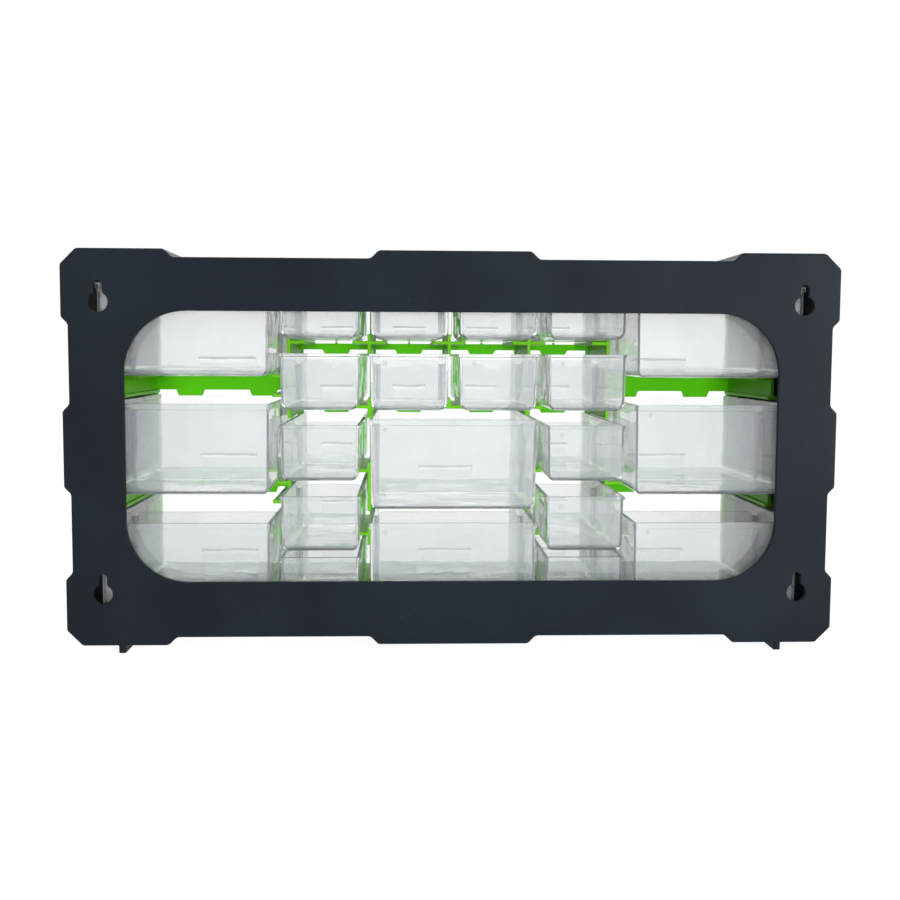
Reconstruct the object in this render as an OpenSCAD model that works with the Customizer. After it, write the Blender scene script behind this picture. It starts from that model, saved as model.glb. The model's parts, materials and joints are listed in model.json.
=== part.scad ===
// Parts cabinet: a moulded casing with a window in its rear wall, a moulded grid with cantilever rails,
// and clear drawers of two sizes, each with a removable divider plate.
//
// +Z is up and the drawers open toward -Y. The origin is on the ground, under the middle of the cabinet.
// Columns are counted in column pitches from the middle, and rows from the top.

/* [Cabinet] */
// Width over the side pads
cab_w = 495; // [410:1:620]
// Height from the ground to the top pads
cab_h = 258; // [215:1:320]
// Depth from the rear wall to the tips of the finger pulls
cab_d = 160; // [140:1:220]
// Height of the feet
foot_h = 5; // [2:0.5:8]

/* [Casing] */
// Wall thickness all round
wall = 3; // [2:0.1:4]
// Depth of the channels in the top and the bottom
channel_tb = 5.2; // [3:0.1:7]
// Depth of the channels in the sides
channel_side = 4.3; // [3:0.1:6]
// Length of a corner pad along the top
corner_pad_x = 64.5; // [50:0.5:80]
// Length of a corner pad along a side
corner_pad_z = 43; // [30:1:60]
// Length of the middle pad along the top
middle_pad_x = 97; // [60:1:140]
// Length of the middle pad along a side
middle_pad_z = 48.5; // [30:0.5:70]
// Chamfer at the four outer corners
corner_chamfer = 10; // [5:0.5:15]
// How far the finger pulls stand out in front of the casing's mouth
pull_reach = 5; // [3:0.5:10]
// Thickness of the ribs in the pads that the grid seats on
seat_rib_t = 2.4; // [1.5:0.1:4]
// Length of a wedge that the grid snaps in behind
wedge_len = 14; // [8:1:24]
// Catch of a wedge over the grid
wedge_catch = 0.5; // [0.3:0.1:1]
// Run of a wedge, front to rear
wedge_run = 1.6; // [1:0.1:1.9]

/* [Rear wall] */
// Border between the window and the cabinet's sides
window_border_x = 38.75; // [35:0.25:60]
// Border between the window and the casing's top
window_border_top = 38.75; // [34:0.25:60]
// Border between the window and the casing's bottom
window_border_bottom = 41.25; // [36:0.25:60]
// Corner radius of the window
window_r = 39; // [10:1:50]
// Distance of the keyholes from the cabinet's sides
keyhole_inset_x = 23.5; // [16:0.5:30]
// Distance of the keyholes from the casing's top and bottom
keyhole_inset_z = 33.5; // [25:0.25:38]
// Diameter of the keyhole's round part, for the screw head
keyhole_d = 12.4; // [8:0.1:15]
// Width of the keyhole's slot, for the screw shank
keyhole_slot = 5.3; // [3:0.1:7]
// Rise of the slot's end above the round part's centre
keyhole_rise = 10.6; // [9:0.1:16]

/* [Feet] */
// Width of a foot lug
foot_w = 4.5; // [3:0.5:10]
// Length of a foot lug, front to rear
foot_len = 24; // [10:1:40]
// Distance of the feet from the cabinet's sides
foot_inset = 35; // [20:0.5:60]

/* [Grid] */
// Space between the cell area and the cabinet's sides
cell_margin_x = 15.5; // [14:0.5:22]
// Space between the cell area and the casing's top and bottom
cell_margin_z = 10; // [9:0.25:16]
// Width of the upright bars
upright_w = 4.8; // [3.6:0.1:6]
// Depth of the bars, front to rear
bar_depth = 6; // [4:0.5:9]
// Thickness of the plate round the cells
plate_t = 3; // [2:0.1:5]
// Set-back of the plate in the mouth of the casing
plate_set_back = 2; // [0.5:0.5:5]
// Gap between the plate and the casing
plate_gap = 0.35; // [0.2:0.05:0.8]
// Thickness of the rails' webs and arms
rail_t = 2.4; // [1.8:0.1:3]
// Width of a rail's pair of arms
rail_w = 24; // [16:1:30]
// Length of the rails behind the bars
rail_len = 67; // [40:1:100]
// Length of the outermost rails of the large drawers
outer_rail_len = 84; // [50:1:110]
// How far the foot of an outermost rail reaches out on each side of its bar's face
outer_foot = 2; // [1:0.5:5]
// Rise of a rail's web above its row line
web_up = 5.6; // [3:0.1:7]
// Drop of a rail's web below its row line
web_down = 8.9; // [5:0.1:10]
// Drop of the middle shelf rails' webs below their arms
shelf_web_down = 12; // [8:0.5:18]
// Width of the pips that carry the front of a small drawer's floor
pip_w = 1.8; // [1:0.1:4]
// Thickness of a stop tab, front to rear
tab_t = 2.3; // [1.5:0.1:3]
// Width of a small stop tab where it leaves the bar
tab_w = 23; // [14:1:30]
// Narrowing of a stop tab on each side
tab_taper = 2.2; // [1:0.1:4]

/* [Drawers] */
// Wall and floor thickness of a drawer
drawer_wall = 1.5; // [1.1:0.1:2]
// Thickness of a drawer's front
front_t = 2.2; // [1.6:0.1:3]
// Gap between a drawer's rim and the upright bars, each side
side_gap = 0.4; // [0.3:0.05:0.8]
// Gap under a drawer and over its rim
run_gap = 0.3; // [0.3:0.05:0.6]
// Gap between a stop tab and the drawer that it stops
stop_gap = 0.3; // [0.3:0.05:0.8]
// Distance of the drawers' rear panels from the rear of the casing
rear_space = 12; // [8:1:20]
// How far a rim stands out from the drawer's wall
rim_out = 0.9; // [0.5:0.1:1.5]
// Depth of the rim on a small drawer
small_rim = 2; // [1.5:0.1:4]
// Depth of the rim on a large drawer
large_rim = 3.8; // [2:0.1:6]
// Inward slope of each side wall from rim to floor
side_draft = 0.5; // [0.3:0.1:1.5]
// Radius along the floor's side edges
floor_r = 6; // [4:0.5:9]
// Radius along the floor's rear edge
rear_r = 7.5; // [4:0.5:10]
// Width of a small drawer's finger pull
small_pull_w = 26; // [16:1:36]
// Width of a large drawer's finger pull
large_pull_w = 44; // [24:1:70]
// Thickness of a finger pull
pull_t = 1.8; // [1.2:0.1:2.5]
// Length of a finger pull's straight lip
pull_lip = 3.5; // [2:0.5:6]
// Height of a finger pull's lower edge over the drawer's floor
pull_foot = 0.6; // [0.3:0.1:6]

/* [Dividers] */
// Thickness of a divider plate
divider_t = 1.4; // [1:0.1:2]
// Gap round a divider plate
divider_gap = 0.25; // [0.15:0.05:0.5]
// Drop of a divider plate below the rim
divider_drop = 4.3; // [3:0.1:12]
// Corner radius of a divider plate's top
divider_r = 5; // [2:0.5:9]
// Height of the step from a plate's top to the ribs' ends
rib_drop = 3.3; // [2:0.1:6]
// Thickness of a rib that holds the plate
rib_t = 1.3; // [0.8:0.1:2]
// How far a rib stands in from the side wall
rib_in = 1.8; // [1.2:0.1:3]
// Distance of a small drawer's divider from the rear of the casing
small_divider_y = 97; // [60:1:120]
// Distance of a large drawer's divider from the rear of the casing
large_divider_y = 77; // [50:1:120]

/* [Hidden] */
$fn = 64;
arc_steps = 8;                              // facets along a drawer's rounded edge
e = 1;                                      // overcut of a hole's ends

columns = 8;
rows = 5;
large_rows = 3;
center_drawers_rows = 3;                    // rows of the two large drawers in the middle

front_y = -cab_d / 2;
rear_y = cab_d / 2;
mouth_y = front_y + pull_reach;
grid_y = mouth_y + plate_set_back;
grid_rear_y = grid_y + bar_depth;
rail_root_y = grid_rear_y - bar_depth / 2;  // where the rails grow out of the bars
rail_end_y = grid_rear_y + rail_len;

body_h = cab_h - foot_h;
mid_z = foot_h + body_h / 2;
pitch = (cab_w - 2 * cell_margin_x) / columns;
row_h = (body_h - 2 * cell_margin_z) / rows;
large_row_h = row_h * rows / large_rows;
cells_top = mid_z + rows * row_h / 2;
cells_bottom = mid_z - rows * row_h / 2;

// How bars and drawers lie about a row line
small_bar_top = -0.7;
small_bar_bottom = -5.5;
small_seat = 0.6;                           // top of the rails' arms
small_rim_below = 8.4;                      // rim of the drawer below the line
large_seat = 7.1;                           // top of the large bars and their arms
large_bar_bottom = -6.8;                    // and top of the feet of the large rails
large_rim_below = 10.4;
center_seat = 5.0;
center_bar_h = 4.4;
top_edge = 6.5;                             // of the highest cells, below the top row line
small_stop = 0.4;                           // how far a stop tab reaches below the rim
large_stop = 1.1;

// The lowest small drawers stand higher, on the floor rails, and still clear the arms over them
small_h = min(row_h - small_seat - run_gap - small_rim_below,
              row_h + small_seat - large_seat - rail_t - 2 * run_gap);
large_h = large_row_h - large_seat - run_gap - large_rim_below;
small_half = pitch / 2 - upright_w / 2 - side_gap;
large_half = pitch - upright_w / 2 - side_gap;

drawer_rear_y = rear_y - rear_space;
tab_y = grid_rear_y - tab_t;
drawer_front_y = tab_y - stop_gap;          // rear side of the drawer's front
front_face_y = drawer_front_y - front_t;
tub_y = drawer_front_y - front_t / 2;       // the walls start inside the front
pull_r = front_face_y - front_y;
small_divider_at = rear_y - small_divider_y;
large_divider_at = rear_y - large_divider_y;

half_web = rail_t / 2;
arm = rail_w / 2;
short_arm = 4.9;                            // inner arm over the middle drawers
small_cell = pitch / 2 - upright_w / 2;     // half widths of the openings
large_cell = pitch - upright_w / 2;

// Inside of the casing at its channels, less the gap round the plate
grid_low = foot_h + channel_tb + wall + plate_gap;
grid_high = cab_h - channel_tb - wall - plate_gap;

// Where a row starts: the seat of its drawers' floors
function line_z(row) = cells_top - row * row_h;
function large_line_z(row) = cells_top - row * large_row_h;
floor_seat = cells_bottom + large_seat;
center_line_z = line_z(rows - center_drawers_rows / 2);
shelf_z = center_line_z + center_seat;
function small_floor(row) = (row == rows ? floor_seat : line_z(row) + small_seat) + run_gap;
function large_floor(row) = large_line_z(row) + large_seat + run_gap;
function center_floor(row) = (row == 1 ? shelf_z : floor_seat) + run_gap;
shelf_low = small_floor(rows) + small_h + run_gap;
center_top = center_floor(1) + large_h + run_gap;

// Drawers as [column from the middle, floor height]
small_places = [for (row = [1:rows]) for (c = [-1.5, -0.5, 0.5, 1.5])
    if (row <= rows - center_drawers_rows || abs(c) > 1) [c * pitch, small_floor(row)]];
large_places = concat(
    [for (row = [1:large_rows]) for (c = [-3, 3]) [c * pitch, large_floor(row)]],
    [for (row = [1:2]) [0, center_floor(row)]]);

casing_color = [0.17, 0.19, 0.22];
grid_color = [0.31, 0.66, 0.12];
clear_color = [0.86, 0.9, 0.9, 0.4];

// Draws an upright outline (X, Z) from y0 to y1
module upright(y0, y1) {
    translate([0, y1, 0]) rotate([90, 0, 0]) linear_extrude(y1 - y0) children();
}

// Draws a side outline (Y, Z) from x0 to x1
module sideways(x0, x1) {
    translate([x0, 0, 0]) rotate([90, 0, 90]) linear_extrude(x1 - x0) children();
}

// A block between two corners
module block(lo, hi) {
    translate(lo) cube(hi - lo);
}

// ---- casing ----

// One quarter of the stepped outline, from the middle of the top to the middle of the side.
// A 45 degree step moves along its edge by shift when the outline is drawn in by inset.
function quarter(inset) = let (
    w = cab_w / 2,
    h = body_h / 2,
    shift = inset * tan(22.5),
    pad_x = w - corner_pad_x,
    pad_z = h - corner_pad_z
) [
    [middle_pad_x / 2 - shift, h - inset],
    [middle_pad_x / 2 + channel_tb - shift, h - channel_tb - inset],
    [pad_x - channel_tb + shift, h - channel_tb - inset],
    [pad_x + shift, h - inset],
    [w - corner_chamfer - shift, h - inset],
    [w - inset, h - corner_chamfer - shift],
    [w - inset, pad_z + shift],
    [w - channel_side - inset, pad_z - channel_side + shift],
    [w - channel_side - inset, middle_pad_z / 2 + channel_side - shift],
    [w - inset, middle_pad_z / 2 - shift]
];
function flipped(points) = [for (i = [len(points) - 1:-1:0]) points[i]];
function mirrored(points, sx, sz) = [for (p = points) [sx * p[0], sz * p[1]]];

// The casing's whole outline, drawn in by inset
module outline(inset) {
    q = quarter(inset);
    translate([0, mid_z]) polygon(concat(
        q,
        flipped(mirrored(q, 1, -1)),
        mirrored(q, -1, -1),
        flipped(mirrored(q, -1, 1))));
}

// The rear window
module window() {
    w = cab_w / 2 - window_border_x - window_r;
    low = foot_h + window_border_bottom + window_r;
    high = cab_h - window_border_top - window_r;
    for (x = [-w, w]) for (z = [low, high]) translate([x, z]) circle(window_r);
    translate([-w, low - window_r]) square([2 * w, high - low + 2 * window_r]);
    translate([-w - window_r, low]) square([2 * (w + window_r), high - low]);
}

// A keyhole to hang the cabinet on a screw: the head goes in below and the shank slides up the slot
module keyhole() {
    circle(d = keyhole_d);
    translate([-keyhole_slot / 2, 0]) square([keyhole_slot, keyhole_rise]);
    translate([0, keyhole_rise]) circle(d = keyhole_slot);
}

// Ribs in the pads' pockets that the grid's plate seats on
module seat_ribs() {
    seat_y = grid_y + plate_t;
    near = seat_rib_t / 2;
    pad_z = body_h / 2 - wall;
    pad_x = cab_w / 2 - wall;
    corner_x = cab_w / 2 - corner_pad_x / 2;
    for (s = [-1, 1]) {
        z = mid_z + s * (pad_z - channel_tb / 2);
        for (x = [-corner_x, -middle_pad_x / 5, middle_pad_x / 5, corner_x])
            block([x - near, seat_y, z - channel_tb / 2], [x + near, rear_y - wall, z + channel_tb / 2]);
        x = s * (pad_x - channel_side / 2);
        for (z = [-middle_pad_z / 4, middle_pad_z / 4]) translate([x, 0, mid_z + z])
            block([-channel_side / 2, seat_y, -near], [channel_side / 2, rear_y - wall, near]);
    }
}

// Side view of a wedge that stands on a wall at height h and catches at grid_y
module wedge_side(h, s) {
    polygon([[grid_y - wedge_run, s * (h + wall / 2)], [grid_y - wedge_run, s * h],
             [grid_y, s * (h - plate_gap - wedge_catch)], [grid_y, s * (h + wall / 2)]]);
}

// Wedges in the casing's mouth that the grid's plate snaps in behind, between the pads
module snap_wedges() {
    x = (cab_w / 2 + middle_pad_x / 2 - corner_pad_x) / 2;
    z = (body_h / 2 + middle_pad_z / 2 - corner_pad_z) / 2;
    for (s = [-1, 1]) for (side = [-1, 1]) {
        translate([0, 0, mid_z]) sideways(side * x - wedge_len / 2, side * x + wedge_len / 2)
            wedge_side(body_h / 2 - channel_tb - wall, s);
        translate([0, 0, mid_z + side * z - wedge_len / 2]) linear_extrude(wedge_len)
            mirror([1, -1]) wedge_side(cab_w / 2 - channel_side - wall, s);
    }
}

// Lugs under the casing, flush with its rear and its front
module feet() {
    for (s = [-1, 1]) for (y = [mouth_y, rear_y - foot_len]) {
        x = s * (cab_w / 2 - foot_inset);
        block([x - foot_w / 2, y, 0], [x + foot_w / 2, y + foot_len, foot_h + wall / 2]);
    }
}

module casing() color(casing_color) {
    difference() {
        upright(mouth_y, rear_y) outline(0);
        upright(mouth_y - e, rear_y - wall) outline(wall);
        upright(rear_y - wall - e, rear_y + e) {
            window();
            for (sx = [-1, 1]) for (sz = [-1, 1]) translate([
                sx * (cab_w / 2 - keyhole_inset_x),
                mid_z + sz * (body_h / 2 - keyhole_inset_z)]) keyhole();
        }
    }
    seat_ribs();
    snap_wedges();
    feet();
}

// ---- grid ----

// A cell's opening, from its floor to its upper edge
module cell(x, half, z0, z1) {
    translate([x - half, z0]) square([2 * half, z1 - z0]);
}

// Upper edge of a row of small cells
function small_cell_top(row) =
    row == 1 ? cells_top - top_edge :
    row == rows ? shelf_low : line_z(row - 1) + small_bar_bottom;
// Lower edge of a row of small cells
function small_cell_bottom(row) =
    row == rows ? floor_seat :
    row == rows - 1 ? line_z(row) + small_seat : line_z(row) + small_bar_top;

module all_cells() {
    for (row = [1:rows]) for (c = [-1.5, -0.5, 0.5, 1.5])
        if (row <= rows - center_drawers_rows || abs(c) > 1)
            cell(c * pitch, small_cell, small_cell_bottom(row), small_cell_top(row));
    for (row = [1:large_rows]) for (c = [-3, 3])
        cell(c * pitch, large_cell, large_line_z(row) + large_seat,
             row == 1 ? cells_top - top_edge : large_line_z(row - 1) + large_bar_bottom);
    cell(0, large_cell, shelf_z, center_top);
    cell(0, large_cell, floor_seat, shelf_z - center_bar_h);
}

// A tab hanging from z1 down to z0, behind the top of a drawer's front
module tab(x, z0, z1) {
    wide = tab_w / 2;
    narrow = wide - tab_taper;
    upright(tab_y, grid_rear_y)
        polygon([[x - narrow, z0], [x + narrow, z0], [x + wide, z1], [x - wide, z1]]);
}

module stop_tabs() {
    for (row = [1:rows]) for (c = [-1.5, -0.5, 0.5, 1.5])
        if (row <= rows - center_drawers_rows || abs(c) > 1)
            tab(c * pitch, small_floor(row) + small_h - small_stop, small_cell_top(row) + e);
    for (row = [1:large_rows]) for (c = [-3.5, -2.5, 2.5, 3.5])
        tab(c * pitch, large_floor(row) + large_h - large_stop,
            (row == 1 ? cells_top - top_edge : large_line_z(row - 1) + large_bar_bottom) + e);
    for (c = [-0.5, 0.5]) {
        tab(c * pitch, line_z(rows - center_drawers_rows) - small_rim_below - small_stop, center_top + e);
        tab(c * pitch, center_floor(2) + large_h - large_stop, shelf_z - center_bar_h + e);
    }
}

// A rail at x: arms of two half widths at height z, on a web from low to high
module rail(x, z, left, right, low, high, end = rail_end_y) {
    block([x - left, rail_root_y, z - rail_t], [x + right, end, z]);
    block([x - half_web, rail_root_y, low], [x + half_web, end, high]);
}

// A rail with its web about a row line
module row_rail(x, line, seat, left, right) {
    rail(x, line + seat, left, right, line - web_down, line + web_up);
}

// The short arm's brace, sloping past the rim of the upper middle drawer to the foot of the web
module brace(s) {
    line = line_z(rows - center_drawers_rows);
    under_arm = line + small_seat - rail_t / 2;
    upright(rail_root_y, rail_end_y)
        polygon([[s * (pitch - short_arm), under_arm], [s * pitch, under_arm],
                 [s * pitch, line - web_down], [s * (pitch - half_web), line - web_down],
                 [s * (large_half + side_gap), center_top]]);
}

module small_rails() {
    for (row = [1:rows - center_drawers_rows]) {
        z = line_z(row);
        last = row == rows - center_drawers_rows;
        rail(0, z + small_seat, arm, arm, last ? z + small_seat - rail_t : z - web_down, z + web_up);
        for (s = [-1, 1]) {
            inner = last ? short_arm : arm;
            row_rail(s * pitch, z, small_seat, s > 0 ? inner : arm, s > 0 ? arm : inner);
            row_rail(s * 2 * pitch, z, small_seat, s > 0 ? arm : half_web, s > 0 ? half_web : arm);
        }
    }
    for (s = [-1, 1]) {
        brace(s);
        for (row = [rows - center_drawers_rows + 1:rows - 1]) {
            z = line_z(row);
            row_rail(s * pitch, z, small_seat, s > 0 ? half_web : arm, s > 0 ? arm : half_web);
            row_rail(s * 2 * pitch, z, small_seat, s > 0 ? arm : half_web, s > 0 ? half_web : arm);
        }
    }
}

// The middle shelf's rails share one web with the small rails above them
module center_rails() {
    for (s = [-1, 1])
        rail(s * pitch, shelf_z, s > 0 ? arm : half_web, s > 0 ? half_web : arm,
             shelf_z - shelf_web_down, line_z(rows - 2) + web_up);
}

// Rails of the large drawers have a foot at their bar's lower edge, like an I-beam. The outermost webs
// stand flush with the opening's side.
module large_rails() {
    outer = columns / 2 * pitch - upright_w / 2 + half_web;
    outer_end = grid_rear_y + outer_rail_len;
    for (row = [1:large_rows - 1]) for (s = [-1, 1]) {
        foot_z = large_line_z(row) + large_bar_bottom;
        seat_z = large_line_z(row) + large_seat;
        inner = 2 * s * pitch;
        rail(inner, seat_z, s > 0 ? half_web : arm, s > 0 ? arm : half_web, foot_z, seat_z + web_up);
        block([inner - (s > 0 ? half_web : arm), rail_root_y, foot_z - rail_t],
              [inner + (s > 0 ? arm : half_web), rail_end_y, foot_z]);
        rail(s * outer, seat_z, s > 0 ? arm : half_web, s > 0 ? half_web : arm,
             foot_z, seat_z + web_up, outer_end);
        block([s * outer - half_web - outer_foot, rail_root_y, foot_z - rail_t],
              [s * outer + half_web + outer_foot, outer_end, foot_z]);
    }
}

// Rails for the lowest drawers, standing on webs over the casing's floor
module floor_rails() {
    for (c = [-4, -2, -1, 1, 2, 4])
        rail(c * pitch, floor_seat, c == -4 ? half_web : arm, c == 4 ? half_web : arm,
             grid_low, floor_seat + web_up);
}

// Pips on the small bars that carry the front of the drawers' floors
module pips() {
    for (row = [1:rows - 2]) for (c = [-1.5, -0.5, 0.5, 1.5])
        if (row <= rows - center_drawers_rows || abs(c) > 1)
            block([c * pitch - pip_w / 2, rail_root_y, line_z(row) + small_bar_top - e],
                  [c * pitch + pip_w / 2, grid_rear_y, line_z(row) + small_seat]);
}

module drawer_grid() color(grid_color) {
    difference() {
        union() {
            upright(grid_y, grid_y + plate_t) outline(wall + plate_gap);
            block([-columns / 2 * pitch - upright_w / 2, grid_y, grid_low],
                  [columns / 2 * pitch + upright_w / 2, grid_rear_y, grid_high]);
        }
        upright(grid_y - e, grid_rear_y + e) all_cells();
    }
    stop_tabs();
    small_rails();
    center_rails();
    large_rails();
    floor_rails();
    pips();
}

// ---- drawers ----

// Points along an arc, from one angle to another
function arc(x, z, r, from, to) = [for (i = [0:arc_steps])
    let (a = from + (to - from) * i / arc_steps) [x + r * cos(a), z + r * sin(a)]];

// Cross-section of a drawer with sloping sides and rounded lower edges, drawn in by inset
module tub_section(half, h, inset, rise, draft = side_draft) {
    slope = atan(draft / h);
    foot = half - draft;
    cx = foot + floor_r * tan(slope) - floor_r / cos(slope);
    top = foot + (h + rise) * tan(slope) - inset / cos(slope);
    side = concat(arc(cx, floor_r, floor_r - inset, -90, -slope), [[top, h + rise]]);
    polygon(concat(side, flipped(mirrored(side, -1, 1))));
}

// Side view of a drawer with a rounded rear edge, drawn in by inset and left open upwards
module tub_side(h, inset) {
    end = drawer_rear_y - rear_r;
    top = h + 2 * e;
    polygon(concat([[front_face_y, top], [front_face_y, inset]],
        arc(end, rear_r, rear_r - inset, -90, 0), [[drawer_rear_y - inset, top]]));
}

// The space that a drawer's walls go round (inset 0), or that lies inside them
module tub(half, h, inset, rise) {
    intersection() {
        upright(tub_y, drawer_rear_y + e) tub_section(half, h, inset, rise);
        sideways(-half - e, half + e) tub_side(h, inset);
    }
}

// Finger pull: a quarter-round hood with a short straight lip
module finger_pull(width, z) {
    y = front_face_y;
    root = y + front_t / 2;
    inner_r = pull_r - pull_t;
    sideways(-width / 2, width / 2) polygon(concat(
        [[root, z + pull_r]], arc(y, z, pull_r, 90, 180),
        [[y - pull_r, z - pull_lip], [y - inner_r, z - pull_lip]],
        arc(y, z, inner_r, 180, 90), [[root, z + inner_r]]));
}

// A pair of ribs on each side wall, with the divider's slot between them
module divider_ribs(half, h, y) {
    slot = divider_t + 2 * divider_gap;
    top = h - divider_drop - rib_drop;
    inner = half - rim_out - drawer_wall - side_draft;
    for (s = [-1, 1]) for (side = [-1, 1]) {
        x0 = s > 0 ? inner - rib_in : -inner - drawer_wall;
        y0 = y + side * (slot + rib_t) / 2 - rib_t / 2;
        block([x0, y0, drawer_wall / 2], [x0 + rib_in + drawer_wall, y0 + rib_t, top]);
    }
}

// An open drawer with its floor at z = 0
module drawer(half, h, rim, pull_w, divider_y) {
    wall_half = half - rim_out;
    difference() {
        union() {
            tub(wall_half, h, 0, 0);
            block([-half, tub_y, h - rim], [half, drawer_rear_y + rim_out, h]);
        }
        difference() {
            tub(wall_half, h, drawer_wall, e);
            divider_ribs(half, h, divider_y);
        }
    }
    upright(front_face_y, drawer_front_y) tub_section(half, h, 0, 0, 0);
    finger_pull(pull_w, pull_foot + pull_lip);
}

// A divider plate standing on the drawer's floor, with rounded upper corners
module divider(half, h, y) {
    inner_half = half - rim_out;
    top = h - divider_drop;
    width = inner_half - drawer_wall - side_draft - divider_gap;
    upright(y - divider_t / 2, y + divider_t / 2) intersection() {
        tub_section(inner_half, h, drawer_wall + divider_gap, 0);
        union() {
            translate([-width - e, 0]) square([2 * (width + e), top - divider_r]);
            translate([-width + divider_r, 0]) square([2 * (width - divider_r), top]);
            for (s = [-1, 1]) translate([s * (width - divider_r), top - divider_r]) circle(divider_r);
        }
    }
}

module small_drawer(i) color(clear_color) translate([small_places[i - 1][0], 0, small_places[i - 1][1]])
    drawer(small_half, small_h, small_rim, small_pull_w, small_divider_at);

module large_drawer(i) color(clear_color) translate([large_places[i - 1][0], 0, large_places[i - 1][1]])
    drawer(large_half, large_h, large_rim, large_pull_w, large_divider_at);

module small_divider(i) color(clear_color) translate([small_places[i - 1][0], 0, small_places[i - 1][1]])
    divider(small_half, small_h, small_divider_at);

module large_divider(i) color(clear_color) translate([large_places[i - 1][0], 0, large_places[i - 1][1]])
    divider(large_half, large_h, large_divider_at);

casing();
drawer_grid();
for (i = [1:len(small_places)]) small_drawer(i);
for (i = [1:len(large_places)]) large_drawer(i);
for (i = [1:len(small_places)]) small_divider(i);
for (i = [1:len(large_places)]) large_divider(i);
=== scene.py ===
"""A parts cabinet with clear drawers, seen from behind: its finishes, rounded mouldings and studio."""

import json
import logging
import math
from dataclasses import dataclass, field
from enum import Enum
from typing import Any, Callable, Optional, Union

import bmesh
import bpy
from mathutils import Matrix, Vector


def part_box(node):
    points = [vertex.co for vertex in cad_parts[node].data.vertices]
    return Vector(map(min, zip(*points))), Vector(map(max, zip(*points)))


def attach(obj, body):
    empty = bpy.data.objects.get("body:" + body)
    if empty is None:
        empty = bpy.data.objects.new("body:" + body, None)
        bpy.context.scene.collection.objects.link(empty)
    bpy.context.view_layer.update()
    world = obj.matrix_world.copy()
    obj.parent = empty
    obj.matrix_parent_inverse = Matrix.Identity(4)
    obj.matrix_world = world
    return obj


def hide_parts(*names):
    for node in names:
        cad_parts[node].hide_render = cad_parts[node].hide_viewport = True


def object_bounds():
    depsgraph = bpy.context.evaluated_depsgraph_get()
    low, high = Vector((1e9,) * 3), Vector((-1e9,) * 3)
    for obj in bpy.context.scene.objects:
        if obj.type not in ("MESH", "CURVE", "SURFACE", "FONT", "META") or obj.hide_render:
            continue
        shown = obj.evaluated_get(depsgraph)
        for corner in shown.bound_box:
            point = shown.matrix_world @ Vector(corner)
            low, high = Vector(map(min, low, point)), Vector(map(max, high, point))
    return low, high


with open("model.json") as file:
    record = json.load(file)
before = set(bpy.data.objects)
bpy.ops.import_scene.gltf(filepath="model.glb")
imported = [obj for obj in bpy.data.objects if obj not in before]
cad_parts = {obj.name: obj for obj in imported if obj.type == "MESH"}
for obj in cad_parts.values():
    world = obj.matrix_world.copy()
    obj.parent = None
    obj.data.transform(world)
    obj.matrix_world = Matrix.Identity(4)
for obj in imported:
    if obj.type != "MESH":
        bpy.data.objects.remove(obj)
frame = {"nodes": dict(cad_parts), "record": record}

CAD_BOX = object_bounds()
LOG = logging.getLogger("cabinet")
MM = 0.001

Number = Union[float, "Field"]
Pair = tuple[float, float]
Triple = tuple[float, float, float]
Colour = tuple[float, float, float, float]
EdgeTest = Callable[[bmesh.types.BMEdge], bool]


def rgba(red: float, green: float, blue: float) -> Colour:
    """An opaque colour."""
    return (red, green, blue, 1.0)


WHITE = rgba(1.0, 1.0, 1.0)


# ---------------------------------------------------------------- shader maths


class Ray(Enum):
    """Kinds of ray, by the names that a Light Path node gives them."""

    CAMERA = "Is Camera Ray"
    GLOSSY = "Is Glossy Ray"
    TRANSMISSION = "Is Transmission Ray"
    SHADOW = "Is Shadow Ray"


@dataclass(frozen=True)
class Noise:
    """A soft noise.

    Attributes:
        size: length of a patch, in metres.
        detail: octaves.
        roughness: weight of the finer octaves.
    """

    size: float
    detail: float = 2.0
    roughness: float = 0.5


@dataclass
class Field:
    """A number that varies over a surface: one socket, with arithmetic that adds Math nodes."""

    shader: "Shader"
    socket: Optional[bpy.types.NodeSocket]

    def _math(self, operation: str, other: Number) -> "Field":
        """Adds a Math node on this field and another."""
        return self.shader.node("ShaderNodeMath", {"operation": operation}, self, other)

    def __add__(self, other: Number) -> "Field":
        """Sum."""
        return self._math("ADD", other)

    def __mul__(self, other: Number) -> "Field":
        """Product."""
        return self._math("MULTIPLY", other)

    __radd__ = __add__
    __rmul__ = __mul__

    def larger(self, other: Number) -> "Field":
        """The larger of two."""
        return self._math("MAXIMUM", other)

    def spread(self, low: float, high: float, to_low: float = 0.0, to_high: float = 1.0) -> "Field":
        """This field mapped from one range to another, and held at its ends."""
        return self.shader.node("ShaderNodeMapRange", {"clamp": True}, self, low, high, to_low, to_high)


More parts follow.
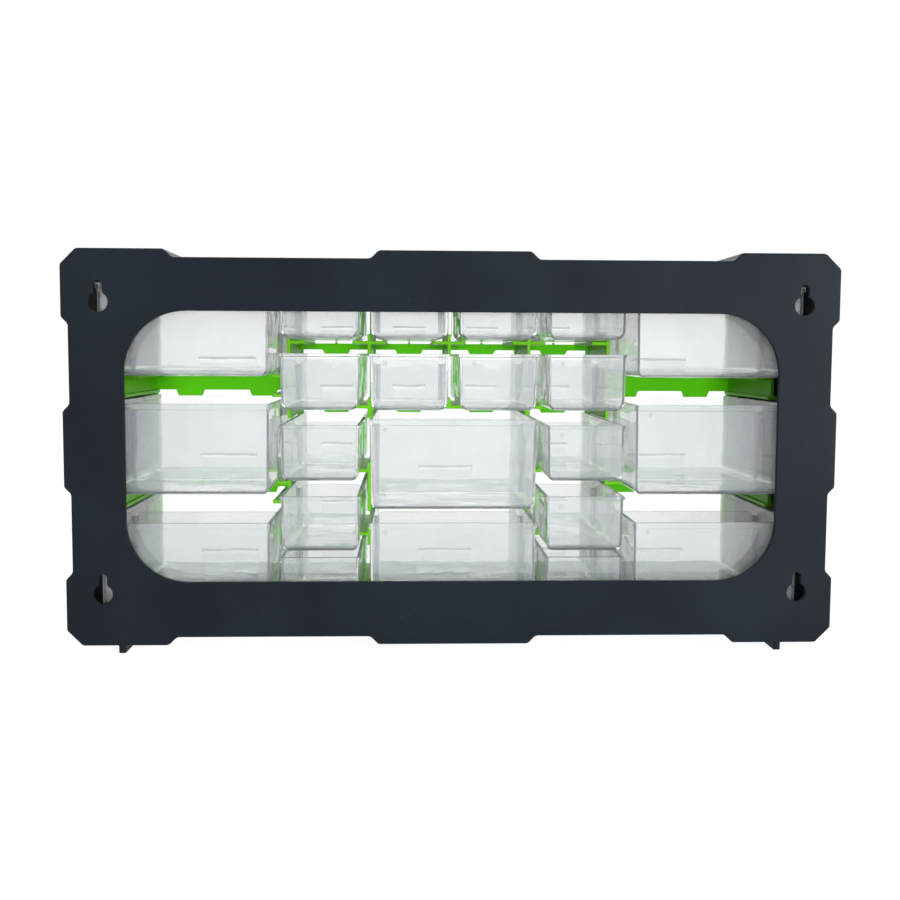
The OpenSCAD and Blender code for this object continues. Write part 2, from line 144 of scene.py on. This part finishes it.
class Shader:
    """One node tree, a material's or the world's, with one method that adds every node."""

    def __init__(self, tree: bpy.types.NodeTree) -> None:
        """Empties the tree.

        Args:
            tree: the node tree to fill.
        """
        self.tree = tree
        tree.nodes.clear()

    def node(self, kind: str, settings: dict[str, Any], *values: Any, out: Union[int, str] = 0,
             **named: Any) -> Field:
        """Adds a node.

        Args:
            kind: the node's type.
            settings: properties that are set before the sockets.
            values: numbers, colours or fields for the first sockets, in order; None leaves one alone.
            out: the output that is handed back.
            named: values for sockets by name, with _ for a space.

        Returns:
            The chosen output.
        """
        made = self.tree.nodes.new(kind)
        for key, value in settings.items():
            setattr(made, key, value)
        pairs = list(enumerate(values)) + [(key.replace("_", " "), value) for key, value in named.items()]
        for key, value in pairs:
            if isinstance(value, Field):
                self.tree.links.new(value.socket, made.inputs[key])
            elif value is not None:
                made.inputs[key].default_value = value
        return Field(self, made.outputs[out] if made.outputs else None)

    def place(self) -> Field:
        """The point on the object, in metres."""
        return self.node("ShaderNodeTexCoord", {}, out="Object")

    def along_depth(self, span: Pair, to_low: float = 0.0, to_high: float = 1.0) -> Field:
        """A number that changes along the cabinet's depth.

        Args:
            span: where the change starts and ends, as distances behind the tips of the finger pulls.
            to_low: the number in front of the span.
            to_high: the number behind it.

        Returns:
            The number.
        """
        depth = self.node("ShaderNodeSeparateXYZ", {}, self.place(), out="Y")
        start, end = (CAD_BOX[0][1] + distance for distance in span)
        return depth.spread(start, end, to_low, to_high)

    def noise(self, pattern: Noise) -> Field:
        """A soft noise from 0 to 1."""
        return self.node("ShaderNodeTexNoise", {}, self.place(), Scale=1 / pattern.size,
                         Detail=pattern.detail, Roughness=pattern.roughness)

    def cells(self, size: float) -> Field:
        """The distance to the nearest middle of cells of a size, over that size."""
        return self.node("ShaderNodeTexVoronoi", {}, self.place(), Scale=1 / size)

    def blend(self, mask: Number, low: Any, high: Any) -> Field:
        """A colour between two, by a mask.

        Args:
            mask: 0 for the low colour, and 1 for the high one.
            low: a colour or a field.
            high: a colour or a field.

        Returns:
            The colour.
        """
        plain = [None] * 5  # the node's sockets for mixing plain numbers and vectors
        return self.node("ShaderNodeMix", {"data_type": "RGBA"}, mask, *plain, low, high, out=2)

    def bump(self, height: Field, distance: float, strength: float) -> Field:
        """A normal from a height.

        Args:
            height: the height, from 0 to 1.
            distance: what a height of 1 stands for, in metres.
            strength: how much of it shows.

        Returns:
            The normal.
        """
        return self.node("ShaderNodeBump", {}, Strength=strength, Distance=distance, Height=height)

    def plastic(self, tint: Field, rough: Field, normal: Field, **sockets: float) -> Field:
        """The plastics' shader.

        Args:
            tint: base colour.
            rough: roughness.
            normal: normal.
            sockets: what is the same all over, by socket.

        Returns:
            The shader.
        """
        return self.node("ShaderNodeBsdfPrincipled", {}, Base_Color=tint, Roughness=rough, Normal=normal,
                         **sockets)

    def mix(self, share: Number, under: Field, over: Field) -> Field:
        """Two shaders, of which the second has a share from 0 to 1."""
        return self.node("ShaderNodeMixShader", {}, share, under, over)

    def ray(self, kind: Ray) -> Field:
        """1 for one kind of ray, and 0 for the others."""
        return self.node("ShaderNodeLightPath", {}, out=kind.value)

    def finish(self, surface: Field, kind: str = "ShaderNodeOutputMaterial") -> None:
        """Sends a shader to the tree's output."""
        self.node(kind, {}, Surface=surface)


# ---------------------------------------------------------------- finishes


class Finish:
    """A moulded plastic: makes one material from its fields."""

    name: str

    def surface(self, shader: Shader) -> Field:
        """The shader that covers a piece."""
        raise NotImplementedError

    def material(self) -> bpy.types.Material:
        """Makes the material.

        Returns:
            The new material.
        """
        made = bpy.data.materials.new(self.name)
        made.use_nodes = True
        shader = Shader(made.node_tree)
        shader.finish(self.surface(shader))
        return made


@dataclass(frozen=True)
class EtchedPlastic(Finish):
    """The casing's blue-black polypropylene: etched grain, faint flow clouds and fine pale specks.

    Attributes:
        name: the material's name.
        shade: colour between the clouds.
        bloom: colour in the clouds.
        speck: colour of the specks.
        gloss: specular level.
        grain: width of a cell of the grain.
        grain_height: how deep the grain is.
        grain_strength: how much of it shows.
        clouds: noise of the clouds.
        cloud_span: noise over which the colour changes.
        specks: noise of the specks.
        speck_span: noise over which a speck fades in.
        speck_cover: how much of the colour under it a speck covers.
        rough: the least roughness, what the clouds add and what the grain adds.
    """

    name: str = "charcoal_plastic"
    shade: Colour = rgba(0.0049, 0.0074, 0.0110)
    bloom: Colour = rgba(0.0075, 0.0108, 0.0150)
    speck: Colour = rgba(0.0500, 0.0560, 0.0640)
    gloss: float = 0.11
    grain: float = 0.9 * MM
    grain_height: float = 0.03 * MM
    grain_strength: float = 0.5
    clouds: Noise = Noise(60 * MM, 4.0)
    cloud_span: Pair = (0.35, 0.70)
    specks: Noise = Noise(1.6 * MM, 1.0)
    speck_span: Pair = (0.74, 0.80)
    speck_cover: float = 0.55
    rough: Triple = (0.40, 0.12, 0.10)

    def surface(self, shader: Shader) -> Field:
        """The grain in bump, the clouds in colour and roughness, and the specks in colour.

        Args:
            shader: the material's nodes.

        Returns:
            The shader.
        """
        clouds = shader.noise(self.clouds)
        grain = shader.cells(self.grain)
        specks = shader.noise(self.specks).spread(*self.speck_span, 0.0, self.speck_cover)
        tint = shader.blend(clouds.spread(*self.cloud_span), self.shade, self.bloom)
        tint = shader.blend(specks, tint, self.speck)
        least, by_clouds, by_grain = self.rough
        rough = least + by_clouds * clouds + by_grain * grain
        normal = shader.bump(grain, self.grain_height, self.grain_strength)
        return shader.plastic(tint, rough, normal, Specular_IOR_Level=self.gloss)


@dataclass(frozen=True)
class BrightPlastic(Finish):
    """The drawer grid's green polystyrene, satin, with faint flow marks, and a darker, yellower green on the
    rails as painted shade.

    Attributes:
        name: the material's name.
        shade: colour of the front lattice.
        deep: its colour between the flow marks.
        olive: colour of the rails, a darker, yellower green that paints the shade inside the cabinet.
        gloss: specular level.
        rails: where the rails' painted shade sets in, behind the tips of the finger pulls.
        flow: noise of the flow marks.
        flow_span: noise over which the colour changes.
        fine: noise of the fine unevenness.
        rough: the least roughness, what the flow marks add and what the fine noise adds.
        relief: the shares of the flow marks and the fine noise in the bump.
        relief_height: how high the bump is.
        relief_strength: how much of it shows.
    """

    name: str = "green_plastic"
    shade: Colour = rgba(0.098, 0.545, 0.006)
    deep: Colour = rgba(0.084, 0.490, 0.005)
    # painted shade: the rails inside the cabinet get a darker, yellower green than the front lattice
    olive: Colour = rgba(0.110, 0.400, 0.007)
    gloss: float = 0.16
    rails: Pair = (18.0 * MM, 28.0 * MM)
    flow: Noise = Noise(45 * MM, 3.0, 0.6)
    flow_span: Pair = (0.30, 0.72)
    fine: Noise = Noise(1.6 * MM)
    rough: Triple = (0.30, 0.12, 0.05)
    relief: Pair = (0.8, 0.2)
    relief_height: float = 0.08 * MM
    relief_strength: float = 0.25

    def surface(self, shader: Shader) -> Field:
        """Flow marks in colour, roughness and bump, and painted shade on the rails.

        Args:
            shader: the material's nodes.

        Returns:
            The shader.
        """
        flow = shader.noise(self.flow)
        fine = shader.noise(self.fine)
        tint = shader.blend(flow.spread(*self.flow_span), self.deep, self.shade)
        # painted shade: the darker green of the rails, laid on behind the front lattice
        tint = shader.blend(shader.along_depth(self.rails), tint, self.olive)
        least, by_flow, by_fine = self.rough
        rough = least + by_flow * flow + by_fine * fine
        flow_share, fine_share = self.relief
        normal = shader.bump(flow * flow_share + fine * fine_share, self.relief_height, self.relief_strength)
        return shader.plastic(tint, rough, normal, Specular_IOR_Level=self.gloss)


@dataclass(frozen=True)
class ClearPlastic(Finish):
    """The drawers' and dividers' clear polystyrene: slightly milky behind the polished front walls.

    Attributes:
        name: the material's name.
        polished: tint of the front walls.
        shade: tint behind them, where it is clearest.
        cloudy: tint behind them, where it is haziest.
        milk: colour of what the plastic scatters.
        milkiness: how much it scatters behind the front walls.
        veil: what the plastic leaves of a shadow ray.
        front_wall: where the front walls end, behind the tips of the finger pulls.
        pull_root: where the finger pulls end, likewise.
        pull_rough: roughness of the frosted pulls.
        refraction: index of refraction.
        waves: noise of the walls' slight waves.
        wave_height: how high the waves are.
        wave_strength: how much of them shows.
        haze: noise of the haze.
        tint_span: haze over which the tint changes.
        rough_span: haze over which the roughness changes.
        rough: the least and the most roughness.
    """

    name: str = "clear_plastic"
    polished: Colour = rgba(0.985, 0.990, 0.985)
    shade: Colour = rgba(0.905, 0.919, 0.907)
    cloudy: Colour = rgba(0.880, 0.895, 0.883)
    milk: Colour = rgba(0.440, 0.455, 0.495)
    milkiness: float = 0.12
    veil: Colour = rgba(0.95, 0.96, 0.96)
    front_wall: Pair = (11.0 * MM, 12.0 * MM)
    pull_root: Pair = (4.6 * MM, 5.2 * MM)
    pull_rough: float = 0.35
    refraction: float = 1.50
    waves: Noise = Noise(40 * MM, 2.0, 0.4)
    wave_height: float = 1.8 * MM
    wave_strength: float = 1.0
    haze: Noise = Noise(9 * MM, 3.0, 0.6)
    tint_span: Pair = (0.30, 0.75)
    rough_span: Pair = (0.35, 0.80)
    rough: Pair = (0.02, 0.05)

    def surface(self, shader: Shader) -> Field:
        """Clear to the eye, and for shadows only a pale veil, so that light reaches what is inside.

        Args:
            shader: the material's nodes.

        Returns:
            The shader.
        """
        haze = shader.noise(self.haze)
        behind = shader.along_depth(self.front_wall)
        tint = shader.blend(haze.spread(*self.tint_span), self.shade, self.cloudy)
        tint = shader.blend(behind, self.polished, tint)
        frost = shader.along_depth(self.pull_root, self.pull_rough, 0.0)
        rough = haze.spread(*self.rough_span, *self.rough) + frost
        normal = shader.bump(shader.noise(self.waves), self.wave_height, self.wave_strength)
        clear = shader.plastic(tint, rough, normal, IOR=self.refraction, Transmission_Weight=1.0)
        milk = shader.node("ShaderNodeBsdfDiffuse", {}, self.milk)
        veil = shader.node("ShaderNodeBsdfTransparent", {}, self.veil)
        return shader.mix(shader.ray(Ray.SHADOW), shader.mix(behind * self.milkiness, clear, milk), veil)


# ---------------------------------------------------------------- moulded pieces


class Slot(Enum):
    """The record's material slots, each with one finish."""

    CASING = "casing"
    GRID = "grid"
    DRAWER = "drawer"
    DIVIDER = "divider"


@dataclass
class Moulding:
    """A piece moulded over a CAD node: the node's own shape with whole faces and rounded edges.

    Attributes:
        node: the CAD node that it stands for.
        body: the body that it rides on.
        slot: its material slot; not used.
        material: its finish.
        radius: radius of the rounded edges.
        segments: facets over a rounded edge.
        corner: faces that meet at more than this angle make an edge to round.
        blend_angle: faces that meet at less than this angle share their shading.
        merge: points nearer than this are one.
        flat: faces that meet at less than this angle are one.
    """

    node: str
    body: str
    slot: Slot
    material: bpy.types.Material
    radius: float = 0.3 * MM
    segments: int = 2
    corner: float = math.radians(32)
    blend_angle: float = math.radians(60)
    merge: float = 0.002 * MM
    flat: float = math.radians(0.5)

    def blank(self) -> bmesh.types.BMesh:
        """Copies the node's mesh, merged to whole faces that are cut to convex ones of 3 or 4 sides.

        Returns:
            The copy.
        """
        bm = bmesh.new()
        bm.from_mesh(frame["nodes"][self.node].data)
        bmesh.ops.remove_doubles(bm, verts=bm.verts, dist=self.merge)
        bmesh.ops.dissolve_limit(bm, angle_limit=self.flat, verts=bm.verts, edges=bm.edges)
        many_sided = [face for face in bm.faces if len(face.verts) > 4]
        bmesh.ops.triangulate(bm, faces=many_sided, ngon_method="BEAUTY")
        bmesh.ops.join_triangles(bm, faces=bm.faces, angle_face_threshold=self.flat,
                                 angle_shape_threshold=math.pi)
        return bm

    def corners(self, bm: bmesh.types.BMesh, test: Optional[EdgeTest] = None) -> list[bmesh.types.BMEdge]:
        """The sharp edges, or those that pass a test.

        Args:
            bm: the mesh.
            test: says whether an edge is wanted.

        Returns:
            The edges.
        """
        return [edge for edge in bm.edges
                if len(edge.link_faces) == 2 and edge.calc_face_angle(0.0) > self.corner
                and (test is None or test(edge))]

    def round_off(self, bm: bmesh.types.BMesh, edges: list[bmesh.types.BMEdge], radius: float,
                  segments: int) -> None:
        """Rounds edges.

        Args:
            bm: the mesh.
            edges: what to round.
            radius: the radius.
            segments: facets over each edge.
        """
        bmesh.ops.bevel(bm, geom=edges, offset=radius, offset_type="OFFSET", segments=segments,
                        profile=0.5, affect="EDGES", clamp_overlap=False, material=-1,
                        loop_slide=False, miter_outer="SHARP", miter_inner="SHARP")

    def soften(self, bm: bmesh.types.BMesh) -> None:
        """Rounds every corner."""
        self.round_off(bm, self.corners(bm), self.radius, self.segments)

    def keep_inside(self, bm: bmesh.types.BMesh) -> None:
        """Holds every point inside the node's box, where a round on a sliver would stand out of it.

        Args:
            bm: the mesh.
        """
        low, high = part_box(self.node)
        for vert in bm.verts:
            vert.co = [min(max(value, least), most) for value, least, most in zip(vert.co, low, high)]

    def detail(self, bm: bmesh.types.BMesh) -> None:
        """Adds what is too fine for the CAD node: nothing, unless a kind of piece says otherwise."""

    def lean_normals(self, mesh: bpy.types.Mesh) -> None:
        """Leans each corner's normal to the largest faces round it, so that flat faces stay flat.

        Args:
            mesh: the finished mesh.
        """
        around: list[list[int]] = [[] for _ in mesh.vertices]
        for face in mesh.polygons:
            for vertex in face.vertices:
                around[vertex].append(face.index)
        normals = [face.normal.copy() for face in mesh.polygons]
        weighted = [face.normal * face.area for face in mesh.polygons]
        limit = math.cos(self.blend_angle)
        corner_normals = []
        for face in mesh.polygons:
            own = normals[face.index]
            for vertex in face.vertices:
                total = Vector()
                for other in around[vertex]:
                    if own.dot(normals[other]) > limit:
                        total += weighted[other]
                corner_normals.append(total.normalized() if total.length > 0 else own)
        mesh.polygons.foreach_set("use_smooth", [True] * len(mesh.polygons))
        mesh.normals_split_custom_set(corner_normals)

    def build(self) -> bpy.types.Object:
        """Makes the piece, and has it ride on its body in the node's place.

        Returns:
            The new object.
        """
        bm = self.blank()
        self.soften(bm)
        self.keep_inside(bm)
        self.detail(bm)
        mesh = bpy.data.meshes.new(self.node + "_moulding")
        bm.to_mesh(mesh)
        bm.free()
        self.lean_normals(mesh)
        mesh.materials.append(self.material)
        piece = bpy.data.objects.new(self.node + "_moulding", mesh)
        bpy.context.scene.collection.objects.link(piece)
        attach(piece, self.body)
        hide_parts(self.node)
        LOG.info("%s: %d faces on %s", piece.name, len(mesh.polygons), self.body)
        return piece


@dataclass
class Casing(Moulding):
    """The charcoal shell: generous rounds along its stepped outline, small ones elsewhere.

    Attributes:
        outline_radius: radius of the rounds along the outline.
        outline_segments: facets over them.
        skin_slack: an edge that is shorter than the shell's depth by no more than this runs along the skin.
        rear_slack: an edge no farther than this from the rear face's plane lies in it.
        border: how far the rear face's steps reach in from the sides, the ground and the top.
    """

    radius: float = 0.45 * MM
    outline_radius: float = 1.6 * MM
    outline_segments: int = 3
    skin_slack: float = 1.5 * MM
    rear_slack: float = 0.05 * MM
    border: Triple = (9.5 * MM, 14 * MM, 9 * MM)

    def outline(self) -> EdgeTest:
        """Makes the test for an edge that runs along the outer skin or round its rear face.

        Returns:
            The test.
        """
        (left, mouth, ground), (right, rear, top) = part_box(self.node)
        aside, below, above = self.border

        def on_outline(edge: bmesh.types.BMEdge) -> bool:
            """Whether an edge is part of the outline."""
            one, two = (vert.co for vert in edge.verts)
            if abs(one.y - two.y) > rear - mouth - self.skin_slack:
                return True
            if min(one.y, two.y) < rear - self.rear_slack:
                return False
            middle = (one + two) / 2
            return (not left + aside <= middle.x <= right - aside
                    or not ground + below <= middle.z <= top - above)

        return on_outline

    def soften(self, bm: bmesh.types.BMesh) -> None:
        """Rounds the outline first, and then the rest."""
        self.round_off(bm, self.corners(bm, self.outline()), self.outline_radius, self.outline_segments)
        self.round_off(bm, self.corners(bm), self.radius, self.segments)


@dataclass
class DrawerGrid(Moulding):
    """The green lattice and its rails."""

    radius: float = 0.35 * MM


@dataclass
class Drawer(Moulding):
    """A clear drawer, with the marks that the mould leaves on its floor and its rear panel.

    Attributes:
        wall: thickness of the floor and the walls.
        rim: how far the rim stands out from the walls.
        gate_radius: radius of the gate's mark in the middle of the floor.
        pin_radius: radius of the ejector pin's mark.
        pin_inset: distance of the pin's mark from the side and from the rim's top.
        mark_height: how far the marks stand out.
        mark_taper: a mark's radius at its top, over its radius at its foot.
        mark_sides: facets round a mark.
    """

    segments: int = 3
    wall: float = 1.5 * MM
    rim: float = 0.9 * MM
    gate_radius: float = 1.3 * MM
    pin_radius: float = 1.4 * MM
    pin_inset: Pair = (10.5 * MM, 6.5 * MM)
    mark_height: float = 0.15 * MM
    mark_taper: float = 0.86
    mark_sides: int = 28

    def mark(self, bm: bmesh.types.BMesh, radius: float, place: Vector, turn: Matrix) -> None:
        """Adds a low round mark.

        Args:
            bm: the drawer's mesh.
            radius: the mark's radius.
            place: the mark's middle, on the wall's surface.
            turn: turns +Z to the wall's outward direction.
        """
        made = bmesh.ops.create_cone(bm, cap_ends=True, segments=self.mark_sides, radius1=radius,
                                     radius2=radius * self.mark_taper, depth=2 * self.mark_height)
        bmesh.ops.transform(bm, matrix=Matrix.Translation(place) @ turn, verts=made["verts"])

    def detail(self, bm: bmesh.types.BMesh) -> None:
        """Adds the gate's mark on the floor, and the pin's mark inside the rear panel.

        Args:
            bm: the drawer's mesh.
        """
        low, high = (Vector(corner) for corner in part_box(self.node))
        floor = Vector(((low.x + high.x) / 2, (low.y + high.y) / 2, low.z + self.wall))
        self.mark(bm, self.gate_radius, floor, Matrix())
        aside, down = self.pin_inset
        panel = Vector((high.x - aside, high.y - self.rim - self.wall, high.z - down))
        self.mark(bm, self.pin_radius, panel, Matrix.Rotation(math.pi / 2, 4, "X"))


@dataclass
class Divider(Moulding):
    """A clear plate that stands across a drawer."""

    radius: float = 0.25 * MM


# ---------------------------------------------------------------- studio


@dataclass(frozen=True)
class Lamp:
    """A soft square lamp.

    Attributes:
        name: the lamp's name.
        place: where it is.
        aim: the point that it faces.
        size: its side, in metres.
        watts: its power.
        mirrored: whether glossy and clear surfaces show it.
    """

    name: str
    place: Triple
    aim: Triple
    size: float
    watts: float
    mirrored: bool = True

    def build(self) -> None:
        """Adds the lamp to the scene."""
        data = bpy.data.lights.new(self.name, "AREA")
        data.shape = "SQUARE"
        data.size = self.size
        data.energy = self.watts
        made = bpy.data.objects.new(self.name, data)
        made.location = self.place
        made.visible_glossy = made.visible_transmission = self.mirrored
        made.rotation_euler = (Vector(self.aim) - Vector(self.place)).to_track_quat("-Z", "Y").to_euler()
        bpy.context.scene.collection.objects.link(made)


@dataclass
class Studio:
    """A pale sweep of floor, soft lamps and the camera behind the cabinet.

    Attributes:
        camera_at: the camera's place.
        turn: the camera's turn from the cabinet's rear face, in radians.
        nod: its tilt towards the floor, in radians.
        roll: its roll, in radians.
        focal_px: its focal length, in pixels of the picture.
        axis_px: where its axis meets the picture, in pixels from the left and the top.
        frame_px: the picture's side, in pixels.
        sensor: width of the sensor, in millimetres.
        near: the nearest that the camera sees.
        floor_radius: radius of the floor.
        floor_sides: sides of the floor.
        floor_tone: the floor's own colour.
        floor_keep: how much of that colour a ray to the background keeps.
        floor_glow: strength of the white that such a ray sees besides.
        sky: strength of the world as a light, as the background, and through clear plastic.
        lamps: the lamps.
        bounces: how often light may bounce, by the render's setting.
    """

    camera_at: Triple = (0.0296, 0.6390, 0.1932)
    turn: float = 0.0293
    nod: float = 0.0619
    roll: float = -0.00454
    focal_px: float = 880.3
    axis_px: Pair = (434.2, 407.9)
    frame_px: float = 900.0
    sensor: float = 36.0
    near: float = 0.01
    floor_radius: float = 12.0
    floor_sides: int = 64
    floor_tone: Colour = rgba(0.60, 0.60, 0.60)
    floor_keep: float = 0.20
    floor_glow: float = 1.20
    sky: Triple = (0.7, 1.0, 1.3)
    lamps: tuple[Lamp, ...] = (
        Lamp("fill_lamp", (0.03, 1.9, 0.22), (0.0, 0.05, 0.12), 0.5, 31.0, mirrored=False),
        Lamp("right_lamp", (-0.85, 0.85, 0.32), (-0.1, 0.08, 0.08), 0.55, 8.0),
        Lamp("top_lamp", (-0.2, 1.1, 1.5), (-0.1, 0.08, 0.2), 0.6, 5.0),
        Lamp("front_lamp", (0.3, -1.8, 1.4), (0.0, 0.0, 0.12), 1.6, 14.0))
    bounces: dict[str, int] = field(default_factory=lambda: {
        "max_bounces": 24, "transmission_bounces": 24, "transparent_max_bounces": 24,
        "glossy_bounces": 8, "diffuse_bounces": 4})

    def camera(self) -> bpy.types.Object:
        """Adds the camera, at the photograph's place.

        Returns:
            The camera.
        """
        data = bpy.data.cameras.new("camera")
        data.sensor_width = self.sensor
        data.lens = self.focal_px * self.sensor / self.frame_px
        data.shift_x = (self.frame_px / 2 - self.axis_px[0]) / self.frame_px
        data.shift_y = (self.axis_px[1] - self.frame_px / 2) / self.frame_px
        data.clip_start = self.near
        made = bpy.data.objects.new("camera", data)
        made.location = self.camera_at
        made.rotation_euler = (math.pi / 2 - self.nod, self.roll, math.pi - self.turn)
        bpy.context.scene.collection.objects.link(made)
        bpy.context.scene.camera = made
        return made

    def seen(self, shader: Shader) -> Field:
        """1 for rays that show the background: the camera's, mirrored and refracted ones."""
        return shader.ray(Ray.CAMERA).larger(shader.ray(Ray.GLOSSY)).larger(shader.ray(Ray.TRANSMISSION))

    def floor(self) -> None:
        """Adds a wide white floor that keeps a soft shadow."""
        bm = bmesh.new()
        bmesh.ops.create_circle(bm, cap_ends=True, radius=self.floor_radius, segments=self.floor_sides)
        mesh = bpy.data.meshes.new("floor")
        bm.to_mesh(mesh)
        bm.free()
        made = bpy.data.materials.new("floor_white")
        made.use_nodes = True
        shader = Shader(made.node_tree)
        matt = shader.node("ShaderNodeBsdfDiffuse", {}, self.floor_tone)
        glow = shader.node("ShaderNodeEmission", {}, WHITE, self.floor_glow)
        shader.finish(shader.mix(self.seen(shader) * (1.0 - self.floor_keep), matt, glow))
        mesh.materials.append(made)
        floor = bpy.data.objects.new("floor", mesh)
        bpy.context.scene.collection.objects.link(floor)

    def world(self) -> None:
        """White where it is seen, brighter through clear plastic, and a plain soft light elsewhere."""
        world = bpy.data.worlds.new("studio")
        world.use_nodes = True
        bpy.context.scene.world = world
        shader = Shader(world.node_tree)
        light, seen, through = self.sky
        clear = shader.ray(Ray.TRANSMISSION)
        strength = self.seen(shader) * (seen - light) + clear * (through - seen) + light
        shader.finish(shader.node("ShaderNodeBackground", {}, WHITE, strength), "ShaderNodeOutputWorld")

    def build(self) -> None:
        """Sets up the whole studio."""
        self.camera()
        self.floor()
        self.world()
        for lamp in self.lamps:
            lamp.build()
        scene = bpy.context.scene
        scene.view_settings.view_transform = "Standard"
        for setting, count in self.bounces.items():
            setattr(scene.cycles, setting, count)


# ---------------------------------------------------------------- the cabinet


@dataclass
class Cabinet:
    """The whole cabinet: every CAD node gets its moulding, body by body.

    Attributes:
        kinds: the kind of moulding for each slot.
        finishes: the finish for each slot.
    """

    kinds: dict[Slot, type[Moulding]] = field(default_factory=lambda: {
        Slot.CASING: Casing, Slot.GRID: DrawerGrid, Slot.DRAWER: Drawer, Slot.DIVIDER: Divider})
    finishes: dict[Slot, Finish] = field(default_factory=lambda: {
        Slot.CASING: EtchedPlastic(), Slot.GRID: BrightPlastic(), Slot.DRAWER: ClearPlastic(),
        Slot.DIVIDER: ClearPlastic(name="clear_divider_plastic")})

    def build(self) -> None:
        """Makes all the pieces."""
        slots = {part["node"]: Slot(part["material_slot"]) for part in frame["record"]["subparts"]}
        materials = {slot: finish.material() for slot, finish in self.finishes.items()}
        for body, nodes in frame["record"]["behaviour"]["bodies"].items():
            for node in nodes:
                slot = slots[node]
                self.kinds[slot](node, body, slot, materials[slot]).build()


def main() -> None:
    """Builds the studio and the cabinet."""
    logging.basicConfig(level=logging.INFO, format="%(name)s %(message)s")
    Studio().build()
    Cabinet().build()


if __name__ == "__main__":
    main()
